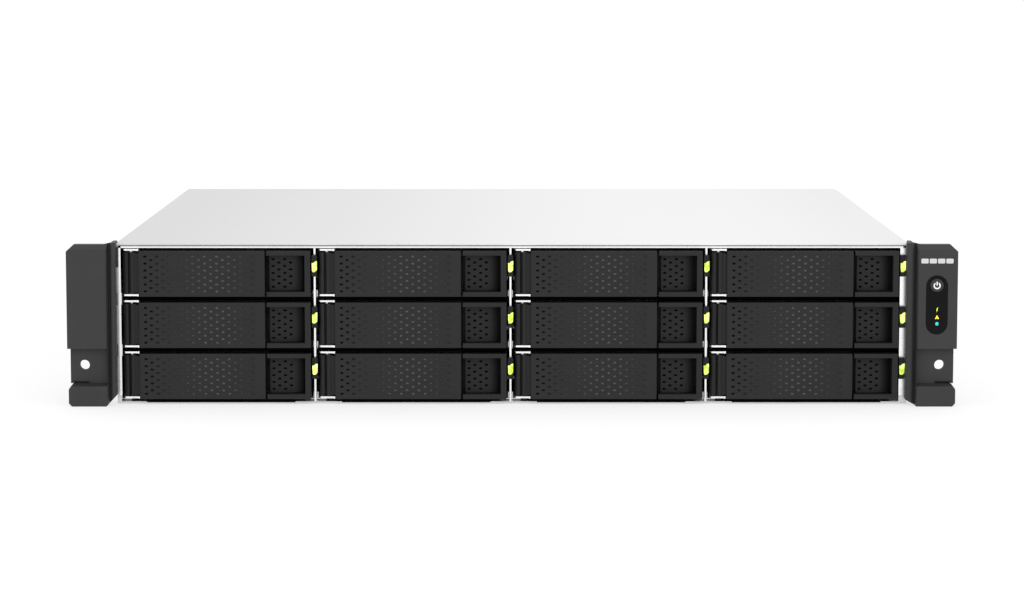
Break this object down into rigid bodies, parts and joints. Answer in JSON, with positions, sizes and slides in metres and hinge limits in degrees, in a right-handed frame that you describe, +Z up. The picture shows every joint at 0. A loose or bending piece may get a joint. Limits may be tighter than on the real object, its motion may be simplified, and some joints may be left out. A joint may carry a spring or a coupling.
{
  "type": "network attached storage",
  "caption": "Two-unit rack storage server with slide-out drive trays, swing-out perforated handles, lift-off cover and slide-in power supplies.",
  "frame": {"origin": "centre of the overall box on its bottom plane", "axes": "+X right, +Y to the rear, +Z up; the front faces -Y"},
  "size_m": [0.4826, 0.424, 0.0889],
  "materials": {
    "zinc_steel": "zinc plated sheet",
    "cover_paint": "pale satin paint",
    "light_pipe": "clear, lit green",
    "circuit_board": "solder mask",
    "black_plastic": "moulded",
    "aluminium": "extruded",
    "ear_plastic": "fine texture",
    "gloss_black": "polished",
    "tray_plastic": "moulded",
    "handle_plastic": "fine texture",
    "lever_plastic": "moulded"
  },
  "bodies": {
    "chassis": {"chassis_base": "zinc_steel", "drive_cage": "zinc_steel", "bay_guides": "zinc_steel", "light_pipes": "light_pipe", "backplane": "circuit_board", "fan_wall": "black_plastic", "mainboard": "circuit_board", "cpu_heatsink": "aluminium", "memory_modules": "circuit_board", "rear_panel": "zinc_steel", "ear_left": "ear_plastic", "ear_right": "ear_plastic", "indicator_window": "gloss_black"},
    "cover": {"top_cover": "cover_paint"},
    "button": {"power_button": "gloss_black"},
    "tray_01": {"tray_01": "tray_plastic"},
    "handle_01": {"tray_handle_01": "handle_plastic"},
    "latch_01": {"tray_latch_01": "tray_plastic"},
    "tray_02": {"tray_02": "tray_plastic"},
    "handle_02": {"tray_handle_02": "handle_plastic"},
    "latch_02": {"tray_latch_02": "tray_plastic"},
    "tray_03": {"tray_03": "tray_plastic"},
    "handle_03": {"tray_handle_03": "handle_plastic"},
    "latch_03": {"tray_latch_03": "tray_plastic"},
    "tray_04": {"tray_04": "tray_plastic"},
    "handle_04": {"tray_handle_04": "handle_plastic"},
    "latch_04": {"tray_latch_04": "tray_plastic"},
    "tray_05": {"tray_05": "tray_plastic"},
    "handle_05": {"tray_handle_05": "handle_plastic"},
    "latch_05": {"tray_latch_05": "tray_plastic"},
    "tray_06": {"tray_06": "tray_plastic"},
    "handle_06": {"tray_handle_06": "handle_plastic"},
    "latch_06": {"tray_latch_06": "tray_plastic"},
    "tray_07": {"tray_07": "tray_plastic"},
    "handle_07": {"tray_handle_07": "handle_plastic"},
    "latch_07": {"tray_latch_07": "tray_plastic"},
    "tray_08": {"tray_08": "tray_plastic"},
    "handle_08": {"tray_handle_08": "handle_plastic"},
    "latch_08": {"tray_latch_08": "tray_plastic"},
    "tray_09": {"tray_09": "tray_plastic"},
    "handle_09": {"tray_handle_09": "handle_plastic"},
    "latch_09": {"tray_latch_09": "tray_plastic"},
    "tray_10": {"tray_10": "tray_plastic"},
    "handle_10": {"tray_handle_10": "handle_plastic"},
    "latch_10": {"tray_latch_10": "tray_plastic"},
    "tray_11": {"tray_11": "tray_plastic"},
    "handle_11": {"tray_handle_11": "handle_plastic"},
    "latch_11": {"tray_latch_11": "tray_plastic"},
    "tray_12": {"tray_12": "tray_plastic"},
    "handle_12": {"tray_handle_12": "handle_plastic"},
    "latch_12": {"tray_latch_12": "tray_plastic"},
    "psu_body_1": {"psu_1": "zinc_steel"},
    "psu_lever_1": {"psu_latch_1": "lever_plastic"},
    "psu_rotor_1": {"psu_fan_rotor_1": "black_plastic"},
    "psu_body_2": {"psu_2": "zinc_steel"},
    "psu_lever_2": {"psu_latch_2": "lever_plastic"},
    "psu_rotor_2": {"psu_fan_rotor_2": "black_plastic"},
    "rotor_1": {"fan_rotor_1": "black_plastic"},
    "rotor_2": {"fan_rotor_2": "black_plastic"},
    "rotor_3": {"fan_rotor_3": "black_plastic"}
  },
  "joints": [
    {"name": "tray_slide_01", "type": "slide", "parent": "chassis", "child": "tray_01", "axis": [0, -1, 0], "range_m": [0, 0.18]},
    {"name": "handle_hinge_01", "type": "hinge", "parent": "tray_01", "child": "handle_01", "pos_m": [-0.2076, -0.1981, 0.0716], "axis": [0, 0, -1], "range_deg": [0, 60]},
    {"name": "latch_push_01", "type": "slide", "parent": "tray_01", "child": "latch_01", "axis": [0, 1, 0], "range_m": [0, 0.002], "stiffness_N_per_m": 400},
    {"name": "cover_lift", "type": "slide", "parent": "chassis", "child": "cover", "axis": [0, 0, 1], "range_m": [0, 0.12]},
    {"name": "psu_slide_1", "type": "slide", "parent": "chassis", "child": "psu_body_1", "axis": [0, 1, 0], "range_m": [0, 0.2]},
    {"name": "psu_latch_hinge_1", "type": "hinge", "parent": "psu_body_1", "child": "psu_lever_1", "pos_m": [0.1965, 0.198, 0.035], "axis": [-1, 0, 0], "range_deg": [0, 15], "stiffness_Nm_per_rad": 0.2},
    {"name": "fan_spin_1", "type": "hinge", "parent": "chassis", "child": "rotor_1", "pos_m": [-0.16, 0.007, 0.0435], "axis": [0, 1, 0], "continuous": true},
    {"name": "button_push", "type": "slide", "parent": "chassis", "child": "button", "axis": [0, 1, 0], "range_m": [0, 0.0012], "stiffness_N_per_m": 500},
    {"name": "psu_fan_spin_1", "type": "hinge", "parent": "psu_body_1", "child": "psu_rotor_1", "pos_m": [0.16, 0.182, 0.022], "axis": [0, 1, 0], "continuous": true},
    {"name": "handle_hinge_12", "type": "hinge", "parent": "tray_12", "child": "handle_12", "pos_m": [0.1125, -0.1981, 0.0154], "axis": [0, 0, -1], "range_deg": [0, 60]},
    {"name": "tray_slide_12", "type": "slide", "parent": "chassis", "child": "tray_12", "axis": [0, -1, 0], "range_m": [0, 0.18]},
    {"name": "latch_push_12", "type": "slide", "parent": "tray_12", "child": "latch_12", "axis": [0, 1, 0], "range_m": [0, 0.002], "stiffness_N_per_m": 400},
    {"name": "tray_slide_02", "type": "slide", "parent": "chassis", "child": "tray_02", "axis": [0, -1, 0], "range_m": [0, 0.18]},
    {"name": "handle_hinge_02", "type": "hinge", "parent": "tray_02", "child": "handle_02", "pos_m": [-0.1009, -0.1981, 0.0716], "axis": [0, 0, -1], "range_deg": [0, 60]},
    {"name": "latch_push_02", "type": "slide", "parent": "tray_02", "child": "latch_02", "axis": [0, 1, 0], "range_m": [0, 0.002], "stiffness_N_per_m": 400},
    {"name": "tray_slide_03", "type": "slide", "parent": "chassis", "child": "tray_03", "axis": [0, -1, 0], "range_m": [0, 0.18]},
    {"name": "handle_hinge_03", "type": "hinge", "parent": "tray_03", "child": "handle_03", "pos_m": [0.0058, -0.1981, 0.0716], "axis": [0, 0, -1], "range_deg": [0, 60]},
    {"name": "latch_push_03", "type": "slide", "parent": "tray_03", "child": "latch_03", "axis": [0, 1, 0], "range_m": [0, 0.002], "stiffness_N_per_m": 400},
    {"name": "tray_slide_04", "type": "slide", "parent": "chassis", "child": "tray_04", "axis": [0, -1, 0], "range_m": [0, 0.18]},
    {"name": "handle_hinge_04", "type": "hinge", "parent": "tray_04", "child": "handle_04", "pos_m": [0.1125, -0.1981, 0.0716], "axis": [0, 0, -1], "range_deg": [0, 60]},
    {"name": "latch_push_04", "type": "slide", "parent": "tray_04", "child": "latch_04", "axis": [0, 1, 0], "range_m": [0, 0.002], "stiffness_N_per_m": 400},
    {"name": "tray_slide_05", "type": "slide", "parent": "chassis", "child": "tray_05", "axis": [0, -1, 0], "range_m": [0, 0.18]},
    {"name": "handle_hinge_05", "type": "hinge", "parent": "tray_05", "child": "handle_05", "pos_m": [-0.2076, -0.1981, 0.0435], "axis": [0, 0, -1], "range_deg": [0, 60]},
    {"name": "latch_push_05", "type": "slide", "parent": "tray_05", "child": "latch_05", "axis": [0, 1, 0], "range_m": [0, 0.002], "stiffness_N_per_m": 400},
    {"name": "tray_slide_06", "type": "slide", "parent": "chassis", "child": "tray_06", "axis": [0, -1, 0], "range_m": [0, 0.18]},
    {"name": "handle_hinge_06", "type": "hinge", "parent": "tray_06", "child": "handle_06", "pos_m": [-0.1009, -0.1981, 0.0435], "axis": [0, 0, -1], "range_deg": [0, 60]},
    {"name": "latch_push_06", "type": "slide", "parent": "tray_06", "child": "latch_06", "axis": [0, 1, 0], "range_m": [0, 0.002], "stiffness_N_per_m": 400},
    {"name": "tray_slide_07", "type": "slide", "parent": "chassis", "child": "tray_07", "axis": [0, -1, 0], "range_m": [0, 0.18]},
    {"name": "handle_hinge_07", "type": "hinge", "parent": "tray_07", "child": "handle_07", "pos_m": [0.0058, -0.1981, 0.0435], "axis": [0, 0, -1], "range_deg": [0, 60]},
    {"name": "latch_push_07", "type": "slide", "parent": "tray_07", "child": "latch_07", "axis": [0, 1, 0], "range_m": [0, 0.002], "stiffness_N_per_m": 400},
    {"name": "tray_slide_08", "type": "slide", "parent": "chassis", "child": "tray_08", "axis": [0, -1, 0], "range_m": [0, 0.18]},
    {"name": "handle_hinge_08", "type": "hinge", "parent": "tray_08", "child": "handle_08", "pos_m": [0.1125, -0.1981, 0.0435], "axis": [0, 0, -1], "range_deg": [0, 60]},
    {"name": "latch_push_08", "type": "slide", "parent": "tray_08", "child": "latch_08", "axis": [0, 1, 0], "range_m": [0, 0.002], "stiffness_N_per_m": 400},
    {"name": "tray_slide_09", "type": "slide", "parent": "chassis", "child": "tray_09", "axis": [0, -1, 0], "range_m": [0, 0.18]},
    {"name": "handle_hinge_09", "type": "hinge", "parent": "tray_09", "child": "handle_09", "pos_m": [-0.2076, -0.1981, 0.0154], "axis": [0, 0, -1], "range_deg": [0, 60]},
    {"name": "latch_push_09", "type": "slide", "parent": "tray_09", "child": "latch_09", "axis": [0, 1, 0], "range_m": [0, 0.002], "stiffness_N_per_m": 400},
    {"name": "tray_slide_10", "type": "slide", "parent": "chassis", "child": "tray_10", "axis": [0, -1, 0], "range_m": [0, 0.18]},
    {"name": "handle_hinge_10", "type": "hinge", "parent": "tray_10", "child": "handle_10", "pos_m": [-0.1009, -0.1981, 0.0154], "axis": [0, 0, -1], "range_deg": [0, 60]},
    {"name": "latch_push_10", "type": "slide", "parent": "tray_10", "child": "latch_10", "axis": [0, 1, 0], "range_m": [0, 0.002], "stiffness_N_per_m": 400},
    {"name": "tray_slide_11", "type": "slide", "parent": "chassis", "child": "tray_11", "axis": [0, -1, 0], "range_m": [0, 0.18]},
    {"name": "handle_hinge_11", "type": "hinge", "parent": "tray_11", "child": "handle_11", "pos_m": [0.0058, -0.1981, 0.0154], "axis": [0, 0, -1], "range_deg": [0, 60]},
    {"name": "latch_push_11", "type": "slide", "parent": "tray_11", "child": "latch_11", "axis": [0, 1, 0], "range_m": [0, 0.002], "stiffness_N_per_m": 400},
    {"name": "psu_slide_2", "type": "slide", "parent": "chassis", "child": "psu_body_2", "axis": [0, 1, 0], "range_m": [0, 0.2]},
    {"name": "psu_latch_hinge_2", "type": "hinge", "parent": "psu_body_2", "child": "psu_lever_2", "pos_m": [0.1965, 0.198, 0.077], "axis": [-1, 0, 0], "range_deg": [0, 15], "stiffness_Nm_per_rad": 0.2},
    {"name": "psu_fan_spin_2", "type": "hinge", "parent": "psu_body_2", "child": "psu_rotor_2", "pos_m": [0.16, 0.182, 0.064], "axis": [0, 1, 0], "continuous": true},
    {"name": "fan_spin_2", "type": "hinge", "parent": "chassis", "child": "rotor_2", "pos_m": [-0.05, 0.007, 0.0435], "axis": [0, 1, 0], "continuous": true},
    {"name": "fan_spin_3", "type": "hinge", "parent": "chassis", "child": "rotor_3", "pos_m": [0.06, 0.007, 0.0435], "axis": [0, 1, 0], "continuous": true}
  ]
}
